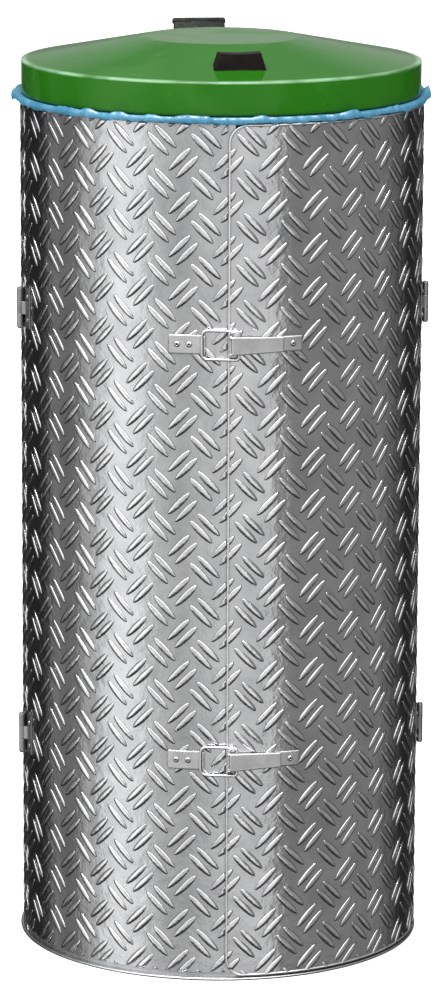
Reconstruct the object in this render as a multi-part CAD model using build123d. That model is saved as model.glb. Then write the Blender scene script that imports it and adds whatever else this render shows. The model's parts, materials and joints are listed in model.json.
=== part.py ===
from build123d import *
import os
from math import asin, cos, degrees, hypot, radians, sin, sqrt, tan

# A round collector for 120 litre sacks. A back shell and two door leaves of tread plate stand
# on a pressed base pan, a ring at the top holds the sack, and a hinged plastic lid covers it.
# Millimetres, +Z up. The front faces -Y and the origin is the centre of the foot on the floor.
# An azimuth is in degrees from the front, and grows to the right, towards +X.

# Shell and leaves
shell_radius = 220.0        # outside of the back shell
sheet = 1.5                 # tread plate without its raised bars
shell_top = 941.0           # top edge of the back shell and of both leaves
leaf_clearance = 0.4        # left leaf to the pan wall and the sack ring
lap_gap = 0.4               # radial gap where the right leaf laps over the left one
seam_offset = 17.0          # the right leaf's free edge, along the arc left of the front line
lap = 7.2                   # width of the left leaf that lies under the right one
right_leaf_rise = 1.6       # right leaf's lower edge above the foot lip
left_leaf_rise = 5.6        # left leaf's lower edge above the foot lip
leaf_corner = 20.0          # corner radius of the right leaf's free edge
leaf_edge_round = 0.9       # rounding along that free edge
hinge_azimuth = 82.0        # both door hinge pins, left and right of the front
leaf_side_gap = 1.2         # leaf edge to the pin's radial line, and shell edge to the same line

# Base pan
lip_height = 3.0
lip_reach = 1.6             # how far the lip stands out past the right leaf
pan_wall_height = 30.0
pan_floor_rise = 1.5        # underside of the pan floor above the ground
pan_sheet = 1.5

# Sack ring
ring_sheet = 1.5
ring_wall_depth = 44.0      # lower edge of the ring below the shell's top edge
ring_groove_inset = 5.3     # how far the groove steps in from the ring wall
ring_bead_radius = 2.7
ring_bead_rise = 3.4        # centre of the bead above the shell's top edge
band_radius = 1.8           # section of the rubber tension ring

# Sack
film = 0.5
film_gap = 0.15
cuff_bulge = 8.0            # how far the folded cuff stands out past the shell
sack_bottom = 62.0

# Lid
lid_radius = 219.5
lid_wall = 2.5
lid_rest = 8.0              # lower edge of the skirt above the shell's top edge
skirt_height = 35.5
crown_height = 25.5         # flat top above the skirt's upper corner
crown_radius = 85.0         # radius of the flat top
shoulder_radius = 6.0

# Lid hinge
lid_hinge_width = 58.0
lid_knuckle_width = 19.0    # the lid leaf's middle knuckle
lid_knuckle_radius = 4.0
lid_pin_radius = 1.9
lid_hinge_sheet = 2.0
lid_axis_back = 10.5        # hinge axis behind the back shell
lid_axis_rise = 60.0        # hinge axis above the shell's top edge
bracket_depth = 56.0        # lower edge of the bracket below the shell's top edge
lid_leaf_length = 30.0      # part of the lid leaf that lies on the cone
backing_sheet = 1.5
lid_leaf_bow = 0.25         # flat leaf over the curved cone, at its rivets

# Grip
grip_front = 178.0          # front face, from the axis
grip_depth = 25.0
grip_width = 57.0
grip_top_width = 45.0
grip_height = 18.3
grip_wall = 2.5
grip_saddle = 1.3           # dip of the top edge

# Door hinges
hinge_height = 43.5
hinge_sheet = 1.5
hinge_leaf_width = 20.0
knuckle_radius = 3.2
hinge_pin_radius = 1.55
pin_standoff = 4.7          # pin axis outside the right leaf
upper_hinge_z = 717.0
lower_hinge_z = 236.0

# Toggle latches
upper_latch_z = 705.5
lower_latch_z = 248.5
latch_sheet = 1.2
strike_sheet = 1.5
lever_pivot_inset = 3.2     # lever pin, along the arc from the right leaf's free edge
lever_pivot_height = 6.5    # lever pin above the right leaf
lever_length = 56.3
lever_web_rise = 4.4        # outside of the lever's web above its pin
lever_tip_rise = 5.0        # outside of the web above the leaf at the tip
lever_tip_height = 15.2     # channel height at the tip
lever_pin_radius = 1.3
latch_base_length = 80.5
latch_base_height = 16.5
ear_radius = 2.3
bail_wire = 1.5             # radius of the wire
bail_crank = 8.5            # lever pin to bail pivot
bail_over_centre = 5.0      # bail pivot under the lever pin's level, in degrees
bail_inner_height = 28.0
bail_corner = 6.0
strike_length = 36.0        # flat part of the strike, up to its hook
strike_height = 20.5
hook_gap = 0.5              # bail wire to the inside of the hook
hook_lip = 2.0              # straight end of the hook
hook_offset = 27.5          # bail bar, along the arc left of the right leaf's free edge

# Fasteners
rivet_head = 3.2
rivet_head_height = 1.2
rivet_shank = 1.6
rivet_tail = 2.3
rivet_tail_height = 1.4
rivet_dimple = 1.1          # radius of the open centre of a blind rivet
rivet_seat_gap = 0.03       # the tail bears on a hollow wall by its edge
screw_radius = 2.0
screw_head = 3.8
screw_head_height = 2.0
boss_radius = 4.2

# Running fits
pin_fit = 0.07              # radial clearance of a pin in the piece that turns on it
side_fit = 0.3              # end clearance beside a knuckle or an ear

# Sizes that follow
ring_radius = shell_radius - sheet
left_inner = ring_radius + leaf_clearance
left_outer = left_inner + sheet
right_inner = left_outer + lap_gap
right_outer = right_inner + sheet
lip_radius = right_outer + lip_reach
axis_radius = right_outer + pin_standoff
lid_bottom = shell_top + lid_rest
skirt_top = lid_bottom + skirt_height
lid_top = skirt_top + crown_height
lid_axis_y = shell_radius + lid_axis_back
lid_axis_z = shell_top + lid_axis_rise
hinge_side = hinge_azimuth - degrees(leaf_side_gap / shell_radius)
shell_side = hinge_azimuth + degrees(leaf_side_gap / shell_radius)
seam_azimuth = -degrees(seam_offset / right_outer)
lap_azimuth = seam_azimuth + degrees(lap / right_outer)
lever_azimuth = seam_azimuth + degrees(lever_pivot_inset / right_outer)
hook_azimuth = seam_azimuth - degrees(hook_offset / right_outer)
lever_height = latch_base_height + 2 * (side_fit + latch_sheet)
hook_radius = bail_wire + hook_gap
bar_radius = left_outer + strike_sheet + hook_radius


def on_wall(azimuth, radius, z):
    """A plane that faces outwards on a cylinder, with x along the arc and y up."""
    a = radians(azimuth)
    out = (sin(a), -cos(a), 0)
    return Plane(origin=(radius * out[0], radius * out[1], z), x_dir=(cos(a), sin(a), 0), z_dir=out)


def in_plan(azimuth, radius, z):
    """A level plane at a cylinder's wall, with x along the arc and y outwards."""
    a = radians(azimuth)
    place = (radius * sin(a), -radius * cos(a), z)
    return Plane(origin=place, x_dir=(cos(a), sin(a), 0), z_dir=(0, 0, -1))


def sector(inner, outer, start, end, bottom, top):
    """A piece of a tube between two azimuths."""
    turn = end - start
    outside = CenterArc((0, 0), outer, start - 90, turn)
    inside = CenterArc((0, 0), inner, start - 90, turn)
    sides = [Line(outside @ 0, inside @ 0), Line(outside @ 1, inside @ 1)]
    face = make_face([outside, inside] + sides)
    return Pos(0, 0, bottom) * extrude(face, amount=top - bottom, dir=(0, 0, 1))


def turned(profile, azimuth=0, turn=360):
    """A profile of (radius, z) about the upright axis, from an azimuth on."""
    return Rot(0, 0, azimuth - 90) * revolve(Plane.XZ * profile, Axis.Z, turn)


def rivet(hold):
    """A blind rivet. Its seat is at z = 0, and it holds sheets of this thickness together."""
    grip = hold + rivet_seat_gap
    points = [
        (rivet_dimple, -grip), (rivet_dimple, rivet_head_height), (rivet_head * 0.55, rivet_head_height),
        (rivet_head, rivet_head_height * 0.3), (rivet_head, 0), (rivet_shank, 0), (rivet_shank, -grip),
        (rivet_tail, -grip), (rivet_tail * 0.8, -grip - rivet_tail_height),
        (0, -grip - rivet_tail_height), (0, -grip),
    ]
    return revolve(Plane.XZ * make_face(Polyline(*points, close=True)), Axis.Z)


def rivets(places, grip):
    return Compound([place * rivet(grip) for place in places])


def drilled(piece, places, radius, reach=12):
    """The piece with a hole along each place's z axis."""
    for place in places:
        piece = piece - place * Cylinder(radius, 2 * reach)
    return piece


# Places of the fasteners, each a plane whose z axis points out of the seat
def pan_rivet_places():
    z = pan_floor_rise + pan_sheet + pan_wall_height / 2
    return [on_wall(a, shell_radius, z) for a in (100, 132, 164, 196, 228, 260)]


def ring_rivet_places():
    z = shell_top - ring_wall_depth * 0.6
    return [on_wall(a, shell_radius, z) for a in (100, 132, 164, 196, 228, 260)]


def bracket_rivet_places():
    seat = shell_radius + lid_hinge_sheet
    side = degrees(lid_hinge_width * 0.33 / seat)
    low = shell_top - bracket_depth + 8
    rows = (low, low + 18)
    return [on_wall(180 + turn, seat, z) for turn in (-side, side) for z in rows]


def hinge_rivet_places(seat, side, towards):
    """Rivets of one kind of leaf at both heights. Side is 1 at the right, towards is 1 to the back."""
    centre = hinge_azimuth + towards * degrees(hinge_leaf_width * 0.66 / seat)
    heights = [z + rise for z in (upper_hinge_z, lower_hinge_z) for rise in (-13, 13)]
    return [on_wall(side * centre, seat + hinge_sheet, z) for z in heights]


def strike_rivet_places(z):
    seat = left_outer + strike_sheet
    from_hook = [strike_length * share for share in (0.39, 0.75)]
    return [on_wall(hook_azimuth - degrees(length / seat), seat, z) for length in from_hook]


def base_rivet_places(z):
    seat = right_outer + latch_sheet
    from_pin = (latch_base_length * 0.35, latch_base_length * 0.845)
    return [on_wall(lever_azimuth + degrees(length / seat), seat, z) for length in from_pin]


def lid_cone(radius):
    """Height of the lid's outside over the cone."""
    slope = crown_height / (lid_radius - crown_radius)
    return skirt_top + (lid_radius - radius) * slope


def cone_tilt():
    return degrees(asin(crown_height / hypot(crown_height, lid_radius - crown_radius)))


def on_cone(azimuth, radius, lift=0):
    """A plane on the lid's cone, facing out of it, with x along the arc."""
    place = on_wall(azimuth, radius, lid_cone(radius))
    return place * Rot(cone_tilt() - 90, 0, 0) * Pos(0, 0, lift)


def lid_rivet_places():
    rows = (lid_radius - 18, lid_radius - 18 - lid_leaf_length * 0.55)
    spread = lid_hinge_width * 0.31
    lift = lid_hinge_sheet + lid_leaf_bow
    return [on_cone(180 + side * degrees(spread / r), r, lift) for r in rows for side in (-1, 1)]


def grip_screw_places():
    z = lid_cone(grip_front - grip_depth / 2) - lid_wall
    return [Plane((side * grip_top_width * 0.3, grip_depth / 2 - grip_front, z)) for side in (-1, 1)]


# Shell, leaves and base
def base_pan():
    floor = pan_floor_rise + pan_sheet
    wall = floor + pan_wall_height
    inner = ring_radius - pan_sheet
    hem = lip_height / 2
    edge = lip_radius - hem
    outline = [
        Line((0, pan_floor_rise), (inner - 4, pan_floor_rise)),
        Line((inner - 4, pan_floor_rise), (inner - 1, 0)),
        Line((inner - 1, 0), (edge, 0)),
        CenterArc((edge, hem), hem, -90, 180),
        Line((edge, lip_height), (ring_radius, lip_height)),
        Line((ring_radius, lip_height), (ring_radius, wall)),
        Line((ring_radius, wall), (inner, wall)),
        Line((inner, wall), (inner, floor)),
        Line((inner, floor), (0, floor)),
        Line((0, floor), (0, pan_floor_rise)),
    ]
    return drilled(turned(make_face(outline)), pan_rivet_places(), rivet_shank)


def back_shell():
    shell = sector(ring_radius, shell_radius, shell_side, 360 - shell_side, lip_height, shell_top)
    places = pan_rivet_places() + ring_rivet_places() + bracket_rivet_places()
    places += hinge_rivet_places(shell_radius, 1, 1) + hinge_rivet_places(shell_radius, -1, 1)
    return drilled(shell, places, rivet_shank)


def left_door():
    leaf = sector(left_inner, left_outer, -hinge_side, lap_azimuth, lip_height + left_leaf_rise, shell_top)
    places = hinge_rivet_places(left_outer, -1, -1)
    places += strike_rivet_places(upper_latch_z) + strike_rivet_places(lower_latch_z)
    return drilled(leaf, places, rivet_shank)


def wall_point(along, radius, z):
    """A point on a leaf, given by the arc length from the right leaf's free edge."""
    return on_wall(seam_azimuth + degrees(along / right_outer), radius, z).origin


def right_door():
    bottom = lip_height + right_leaf_rise
    leaf = sector(right_inner, right_outer, seam_azimuth, hinge_side, bottom, shell_top)
    middle = (right_inner + right_outer) / 2
    ends = [wall_point(0, middle, z) for z in (bottom, shell_top)]
    leaf = fillet([leaf.edges().sort_by_distance(point)[0] for point in ends], leaf_corner)
    dip = leaf_corner * (1 - sqrt(0.5))
    rim = [wall_point(0, right_outer, (bottom + shell_top) / 2)]
    rim += [wall_point(dip, right_outer, z) for z in (bottom + dip, shell_top - dip)]
    leaf = fillet([leaf.edges().sort_by_distance(point)[0] for point in rim], leaf_edge_round)
    places = hinge_rivet_places(right_outer, 1, -1)
    places += base_rivet_places(upper_latch_z) + base_rivet_places(lower_latch_z)
    return drilled(leaf, places, rivet_shank)


# Sack ring, tension ring and sack
def top_ring():
    low = shell_top - ring_wall_depth
    step = shell_top - 11
    groove = ring_radius - ring_groove_inset
    bead = (groove - ring_sheet + ring_bead_radius, shell_top + ring_bead_rise)
    wall = [
        (ring_radius - ring_sheet, low), (ring_radius, low), (ring_radius, step), (groove, step + 5.3),
        (groove, bead[1]), (groove - ring_sheet, bead[1]), (groove - ring_sheet, step + 4.7),
        (ring_radius - ring_sheet, step - 0.6),
    ]
    profile = make_face(Polyline(*wall, close=True)) + Pos(*bead) * Circle(ring_bead_radius)
    return drilled(turned(profile), ring_rivet_places() + bracket_rivet_places(), rivet_shank)


def tension_ring():
    groove = ring_radius - ring_groove_inset
    centre = groove + 2 * film_gap + film + band_radius
    return Pos(0, 0, shell_top - 3.2) * Torus(centre, band_radius)


def sack():
    groove = ring_radius - ring_groove_inset
    bead = (groove - ring_sheet + ring_bead_radius, shell_top + ring_bead_rise)
    inner = groove - ring_sheet - film_gap - film / 2
    over = ring_bead_radius + film_gap + film / 2
    outer = shell_radius + cuff_bulge
    crest = bead[1] + over
    hang = inner - 70
    path = FilletPolyline(
        (0, sack_bottom), (hang, sack_bottom), (inner, sack_bottom + 70), (inner, crest),
        (outer - 5, crest), (outer, crest - 3.2), (outer - 4, shell_top + 0.8),
        (ring_radius + 0.2, shell_top + 0.7), (groove + film_gap + film / 2, shell_top - 0.8),
        (groove + film_gap + film / 2, shell_top - 5.3),
        radius=[30, 30, over, 1.4, 1.4, 1.0, 1.5, 0.5],
    )
    return turned(trace(path, line_width=film))


# Lid with its grip
def lid_outline(inset):
    """Half section of the lid's surface, moved in by an inset. The lower end is open."""
    slope = radians(cone_tilt())
    radius = lid_radius - inset
    shift = inset / cos(slope) - inset * tan(slope)
    corner = (radius, skirt_top - shift)
    top = lid_top - inset
    crown = crown_radius - inset * tan(slope / 2)
    return radius, corner, (crown, top)


def lid_envelope(inset=0):
    """Everything under the lid's surface, down to the skirt's lower edge."""
    radius, corner, crown = lid_outline(inset)
    points = [(0, lid_bottom - inset), (radius, lid_bottom - inset), corner, crown, (0, crown[1])]
    face = make_face(Polyline(*points, close=True))
    shoulder = face.vertices().sort_by_distance(Vector(*corner))[0]
    ridge = face.vertices().sort_by_distance(Vector(*crown))[0]
    face = fillet(shoulder, shoulder_radius - inset)
    face = fillet(ridge, crown_radius * 0.3)
    return turned(face)


def lid():
    shell = lid_envelope() - lid_envelope(lid_wall)
    shell = drilled(shell, lid_rivet_places(), rivet_shank)
    return drilled(shell, grip_screw_places(), screw_radius)


def grip_block(inset):
    """The grip's outside, or its hollow when there is an inset."""
    low = lid_cone(grip_front) - 6
    high = lid_cone(grip_front) + grip_height - inset
    mid = grip_depth / 2 - grip_front
    foot = Pos(0, mid, low) * RectangleRounded(grip_width - 2 * inset + 3.2, grip_depth - 2 * inset, 3)
    head = Pos(0, mid - 0.5, high) * RectangleRounded(grip_top_width - 2 * inset, grip_depth - 5 - 2 * inset, 3)
    return loft([foot, head])


def grip():
    block = grip_block(0)
    dip = 1 + grip_top_width ** 2 / (8 * grip_saddle)
    crest = lid_cone(grip_front) + grip_height
    saddle = Pos(0, grip_depth / 2 - grip_front, crest + dip - grip_saddle) * Rot(90, 0, 0) * Cylinder(dip, 60)
    hollow = grip_block(grip_wall)
    for place in grip_screw_places():
        boss = Cylinder(boss_radius, grip_height * 2)
        hollow = hollow - Pos(place.origin.X, place.origin.Y, crest - grip_height / 2) * boss
    under_saddle = Pos(0, 0, -grip_saddle - 0.5) * grip_block(grip_wall)
    body = block - saddle - (hollow & under_saddle) - lid_envelope()
    hole_top = lid_cone(grip_front) + grip_height * 0.55
    for place in grip_screw_places():
        body = body - Pos(place.origin.X, place.origin.Y, hole_top - 20) * Cylinder(screw_radius, 40)
    return body


def grip_screws():
    tip = lid_cone(grip_front) + grip_height * 0.5
    made = []
    for place in grip_screw_places():
        seat = place.origin.Z - 1.2
        low = seat - screw_head_height
        points = [
            (0, low), (screw_head, low), (screw_head, seat), (screw_radius, seat),
            (screw_radius, tip - 2), (0, tip),
        ]
        screw = revolve(Plane.XZ * make_face(Polyline(*points, close=True)), Axis.Z)
        made.append(Pos(place.origin.X, place.origin.Y, 0) * screw)
    return Compound(made)


# Door hinges
def link(seat, sheet_top, reach):
    """Plan of the strip that joins a hinge leaf to its knuckle, in the plane at the pin."""
    drop = seat - axis_radius
    points = [
        (0, -knuckle_radius), (reach, drop), (reach + 2.8, drop), (reach + 2.8, drop + sheet_top),
        (knuckle_radius * 0.9, -knuckle_radius * 0.4), (0, 0),
    ]
    return make_face(Polyline(*points, close=True))


def hinge_leaf(seat, towards, z, segments, bore):
    """One leaf of a right-hand hinge. Towards is 1 for the body's leaf and -1 for the door's."""
    reach = knuckle_radius * 0.75 + (right_outer - seat) * 0.5
    near = hinge_azimuth + towards * degrees(reach / seat)
    far = hinge_azimuth + towards * degrees(hinge_leaf_width / seat)
    low = z - hinge_height / 2
    leaf = sector(seat, seat + hinge_sheet, min(near, far), max(near, far), low, low + hinge_height)
    for start, end in segments:
        plane = in_plan(hinge_azimuth, axis_radius, low + end)
        strip = link(seat, hinge_sheet, reach)
        if towards < 0:
            strip = mirror(strip, Plane.YZ)
        leaf = leaf + extrude(plane * (strip + Circle(knuckle_radius)), end - start)
    pin = in_plan(hinge_azimuth, axis_radius, z) * Cylinder(bore, hinge_height * 2)
    return leaf - pin


def knuckle_segments():
    third = hinge_height / 3
    body = [(0, third - side_fit / 2), (2 * third + side_fit / 2, hinge_height)]
    door = [(third + side_fit / 2, 2 * third - side_fit / 2)]
    return body, door


def door_hinge(side, leaf_outer, z):
    """The two leaves and the pin of one hinge. Side is 1 at the right and -1 at the left."""
    body_segments, door_segments = knuckle_segments()
    body_leaf = hinge_leaf(shell_radius, 1, z, body_segments, hinge_pin_radius)
    door_leaf = hinge_leaf(leaf_outer, -1, z, door_segments, hinge_pin_radius + pin_fit)
    body_leaf = drilled(body_leaf, hinge_rivet_places(shell_radius, 1, 1), rivet_shank)
    door_leaf = drilled(door_leaf, hinge_rivet_places(leaf_outer, 1, -1), rivet_shank)
    half = hinge_height / 2
    pin = Cylinder(hinge_pin_radius, hinge_height)
    for end in (-1, 1):
        pin = pin + Pos(0, 0, end * (half + 0.6)) * Cylinder(hinge_pin_radius * 1.6, 1.2)
    pin = Pos(*in_plan(hinge_azimuth, axis_radius, z).origin) * pin
    made = (body_leaf, door_leaf, pin)
    return made if side > 0 else [mirror(piece, Plane.YZ) for piece in made]


# Lid hinge
def lid_axis():
    return Plane(origin=(0, lid_axis_y, lid_axis_z), x_dir=(0, 1, 0), z_dir=(1, 0, 0))


def across(face, start, end):
    """A side view, drawn as (y, z), extruded from one x to another."""
    side_view = Plane(origin=(start, 0, 0), x_dir=(0, 1, 0), z_dir=(1, 0, 0))
    return extrude(side_view * face, end - start)


def knuckle(start, end):
    return across(Pos(lid_axis_y, lid_axis_z) * Circle(lid_knuckle_radius), start, end)


def lid_hinge_bracket():
    half = lid_hinge_width / 2
    gap = lid_knuckle_width / 2
    seat = shell_radius
    turn = degrees(half / seat)
    low = shell_top - bracket_depth
    outer = seat + lid_hinge_sheet
    plate = sector(seat, outer, 180 - turn, 180 + turn, low, shell_top - 9)
    back = lid_axis_y + lid_hinge_sheet / 2
    front = back - lid_hinge_sheet
    joggle = [
        (seat - 1.9, shell_top - 13), (outer, shell_top - 13), (back, shell_top - 2),
        (back, lid_axis_z - lid_knuckle_radius - 0.6), (front, lid_axis_z - lid_knuckle_radius - 0.6),
        (front, shell_top - 1), (seat - 1.9, shell_top - 10),
    ]
    plate = plate + across(make_face(Polyline(*joggle, close=True)), -half, half)
    riser = Polyline(
        (front, lid_axis_z - lid_knuckle_radius - 0.7), (back, lid_axis_z - lid_knuckle_radius - 0.7),
        (back, lid_axis_z), (front, lid_axis_z), close=True,
    )
    for start, end in ((-half, -gap - side_fit), (gap + side_fit, half)):
        plate = plate + across(make_face(riser), start, end) + knuckle(start, end)
    plate = plate - Cylinder(shell_radius, 2 * shell_top)
    plate = plate - lid_axis() * Cylinder(lid_pin_radius, 2 * lid_hinge_width)
    return drilled(plate, bracket_rivet_places(), rivet_shank)


def lid_hinge_leaf():
    half = lid_hinge_width / 2
    gap = lid_knuckle_width / 2
    edge = lid_radius - 8
    far = edge - lid_leaf_length
    leaf = lid_hinge_sheet
    rise = leaf / cos(radians(cone_tilt()))
    bend = lid_axis_y - lid_knuckle_radius - 1.2
    strip = [
        (far, lid_cone(far) - 3), (edge, lid_cone(edge) - 3), (edge + 3, lid_cone(edge) + 0.4),
        (bend, lid_axis_z - 2.6), (bend, lid_axis_z - 0.2), (edge - 1, lid_cone(edge) + rise),
        (far, lid_cone(far) + rise),
    ]
    arm = [
        (bend - 0.5, lid_axis_z - 2.45), (lid_axis_y, lid_axis_z - lid_knuckle_radius + 0.4),
        (lid_axis_y, lid_axis_z), (bend - 0.5, lid_axis_z - 0.35),
    ]
    piece = across(make_face(Polyline(*strip, close=True)), -half, half)
    piece = piece + across(make_face(Polyline(*arm, close=True)), -gap, gap) + knuckle(-gap, gap)
    piece = piece - lid_envelope()
    piece = piece - lid_axis() * Cylinder(lid_pin_radius + pin_fit, 2 * lid_hinge_width)
    return drilled(piece, lid_rivet_places(), rivet_shank)


def lid_hinge_pin():
    pin = Cylinder(lid_pin_radius, lid_hinge_width)
    for end in (-1, 1):
        pin = pin + Pos(0, 0, end * (lid_hinge_width / 2 + 0.7)) * Cylinder(lid_pin_radius * 1.5, 1.4)
    return lid_axis() * pin


def lid_backing_plate():
    """A strip under the lid that spreads the load of the hinge rivets."""
    tilt = radians(cone_tilt())
    far = lid_radius - 12
    near = lid_radius - 42
    drop = lid_wall / cos(tilt)
    turn = degrees(lid_hinge_width * 0.46 / (lid_radius - 27))
    points = [
        (near, lid_cone(near) - drop), (far, lid_cone(far) - drop),
        (far, lid_cone(far) - drop - backing_sheet), (near, lid_cone(near) - drop - backing_sheet),
    ]
    plate = turned(make_face(Polyline(*points, close=True)), 180 - turn, 2 * turn)
    return drilled(plate, lid_rivet_places(), rivet_shank)


# Toggle latches, drawn in the level plane at the lever's pin
def latch_plane(z):
    return in_plan(lever_azimuth, right_outer, z)


def bail_pivot():
    below = radians(bail_over_centre)
    return (bail_crank * cos(below), lever_pivot_height - bail_crank * sin(below))


def bail_bar():
    """The bail's bar in the strike's hook, in the plane at the lever's pin."""
    turn = radians(hook_azimuth - lever_azimuth)
    return (bar_radius * sin(turn), bar_radius * cos(turn) - right_outer)


def wall_level(x, radius):
    """Height of a cylinder's wall in the latch plane."""
    return sqrt(radius ** 2 - x ** 2) - right_outer


def lever_side(inset):
    """Side view of the lever's channel, or of its hollow when there is an inset."""
    head = lever_pivot_height + lever_web_rise - inset
    tip = wall_level(lever_length, right_outer) + lever_tip_rise - inset
    reach = lever_length + 4 * inset
    start = 0.5 - 8 * inset
    slope = (tip - head) / (lever_length - 0.5)
    points = [
        (start, head + slope * (start - 0.5)), (reach, head + slope * (reach - 0.5)),
        (reach + 0.8, head + slope * reach - 1.6 - inset), (reach, -20), (start, -20),
    ]
    return make_face(Polyline(*points, close=True))


def lever_taper(inset):
    """Front view of the lever, drawn as (x, z)."""
    wide = lever_height / 2 - inset
    narrow = lever_tip_height / 2 - inset
    end = lever_length + 9
    points = [(-9, wide), (2, wide), (end, narrow), (end, -narrow), (2, -wide), (-9, -wide)]
    return make_face(Polyline(*points, close=True))


def latch_lever(z):
    plane = latch_plane(z)
    front = on_wall(lever_azimuth, right_outer - 30, z)
    pivot = Pos(0, lever_pivot_height)
    nose = ear_radius + 1.1
    cheek = make_face(Polyline(
        (0, lever_pivot_height + nose), (3, lever_pivot_height + nose), (12, 0), (2.5, -9),
        (-nose, lever_pivot_height), close=True,
    ))
    side = lever_side(0) + cheek + pivot * Circle(nose)
    clear = Pos(0, -right_outer) * Circle(right_outer + latch_sheet + side_fit)
    side = side - clear
    body = extrude(plane * side, lever_height, both=True) & extrude(front * lever_taper(0), 60)
    hollow = lever_side(latch_sheet) + Pos(-5.5, 0) * Rectangle(12, 40)
    inner = extrude(plane * hollow, lever_height, both=True) & extrude(front * lever_taper(latch_sheet), 60)
    body = body - inner
    body = body - plane * (pivot * Cylinder(lever_pin_radius + pin_fit, 60))
    return body - plane * (Pos(*bail_pivot()) * Cylinder(bail_wire + pin_fit, 60))


def lever_pin(z):
    grip = lever_height + 2 * side_fit
    pin = Cylinder(lever_pin_radius, grip)
    for end in (-1, 1):
        pin = pin + Pos(0, 0, end * (grip / 2 + 0.4)) * Cylinder(lever_pin_radius * 1.6, 0.8)
    return latch_plane(z) * (Pos(0, lever_pivot_height) * pin)


def latch_base(z):
    half = latch_base_height / 2
    start = seam_azimuth + 0.1
    end = start + degrees(latch_base_length / right_outer)
    plate = sector(right_outer, right_outer + latch_sheet, start, end, z - half, z + half)
    plate = drilled(plate, base_rivet_places(z), rivet_shank)
    plane = latch_plane(z)
    side = Pos(0, lever_pivot_height) * Circle(ear_radius) + make_face(Polyline(
        (-ear_radius, lever_pivot_height), (ear_radius, lever_pivot_height), (ear_radius + 2.5, -0.6),
        (-ear_radius, -0.6), close=True,
    ))
    side = side - Pos(0, -right_outer) * Circle(right_outer)
    ears = extrude(plane * side, half, both=True) - extrude(plane * side, half - latch_sheet, both=True)
    return plate + ears - plane * (Pos(0, lever_pivot_height) * Cylinder(lever_pin_radius, 60))


def bail(z):
    pivot = bail_pivot()
    bar = bail_bar()
    length = hypot(bar[0] - pivot[0], bar[1] - pivot[1])
    half = bail_inner_height / 2 + bail_wire
    end = lever_height / 2 - latch_sheet - 1.2
    path = FilletPolyline(
        (0, end), (0, half), (length, half), (length, -half), (0, -half), (0, -end),
        radius=[3.2, bail_corner, bail_corner, 3.2],
    )
    plane = latch_plane(z)
    start = plane.from_local_coords(Vector(pivot[0], pivot[1], 0))
    tip = plane.from_local_coords(Vector(bar[0], bar[1], 0))
    along = (tip - start).normalized()
    flat = Plane(origin=start, x_dir=along, z_dir=along.cross(Vector(0, 0, 1)))
    route = flat * path
    section = Plane(origin=route @ 0, z_dir=route % 0) * Circle(bail_wire)
    return sweep(section, route)


def strike(z):
    half = strike_height / 2
    seat = left_outer
    start = hook_azimuth - degrees(strike_length / seat)
    plate = sector(seat, seat + strike_sheet, start, hook_azimuth, z - half, z + half)
    plate = drilled(plate, strike_rivet_places(z), rivet_shank)
    outer = hook_radius + strike_sheet
    curl = make_face([
        CenterArc((0, 0), outer, -90, 90), Line((outer, 0), (outer, hook_lip)),
        Line((outer, hook_lip), (hook_radius, hook_lip)), Line((hook_radius, hook_lip), (hook_radius, 0)),
        CenterArc((0, 0), hook_radius, 0, -90), Line((0, -hook_radius), (0, -outer)),
    ])
    plane = in_plan(hook_azimuth, bar_radius, z)
    return plate + extrude(plane * curl, half, both=True)


def add(name, piece):
    piece.label = name
    export_step(piece, "parts/" + name + ".step")


def add_body():
    add("base_pan", base_pan())
    add("pan_rivets", rivets(pan_rivet_places(), sheet + pan_sheet))
    add("back_shell", back_shell())
    add("sack_ring", top_ring())
    add("sack_ring_rivets", rivets(ring_rivet_places(), sheet + ring_sheet))
    add("tension_ring", tension_ring())
    add("sack", sack())
    add("lid_hinge_bracket", lid_hinge_bracket())
    add("bracket_rivets", rivets(bracket_rivet_places(), lid_hinge_sheet + sheet + ring_sheet))


def add_hinges():
    grip = hinge_sheet + sheet
    body_places = []
    for side, word, outer in ((-1, "left", left_outer), (1, "right", right_outer)):
        for height, z in (("upper", upper_hinge_z), ("lower", lower_hinge_z)):
            body_leaf, door_leaf, pin = door_hinge(side, outer, z)
            add(word + "_" + height + "_hinge_body_leaf", body_leaf)
            add(word + "_" + height + "_hinge_door_leaf", door_leaf)
            add(word + "_" + height + "_hinge_pin", pin)
        body_places += hinge_rivet_places(shell_radius, side, 1)
        add(word + "_door_hinge_rivets", rivets(hinge_rivet_places(outer, side, -1), grip))
    add("shell_hinge_rivets", rivets(body_places, grip))


def add_doors():
    add("left_door", left_door())
    add("right_door", right_door())
    strike_places = strike_rivet_places(upper_latch_z) + strike_rivet_places(lower_latch_z)
    add("strike_rivets", rivets(strike_places, strike_sheet + sheet))
    base_places = base_rivet_places(upper_latch_z) + base_rivet_places(lower_latch_z)
    add("latch_base_rivets", rivets(base_places, latch_sheet + sheet))
    for height, z in (("upper", upper_latch_z), ("lower", lower_latch_z)):
        add(height + "_strike", strike(z))
        add(height + "_latch_base", latch_base(z))
        add(height + "_lever_pin", lever_pin(z))
        add(height + "_lever", latch_lever(z))
        add(height + "_bail", bail(z))


def add_lid():
    add("lid", lid())
    add("lid_hinge_leaf", lid_hinge_leaf())
    add("lid_hinge_pin", lid_hinge_pin())
    add("lid_backing_plate", lid_backing_plate())
    held = lid_hinge_sheet + lid_leaf_bow + lid_wall + backing_sheet
    add("lid_hinge_rivets", rivets(lid_rivet_places(), held))
    add("grip", grip())
    add("grip_screws", grip_screws())


os.makedirs("parts", exist_ok=True)
add_body()
add_hinges()
add_doors()
add_lid()
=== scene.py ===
import json
from math import cos, degrees, hypot, pi, radians, sin, sqrt

import bmesh
import bpy
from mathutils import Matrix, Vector, noise


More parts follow.
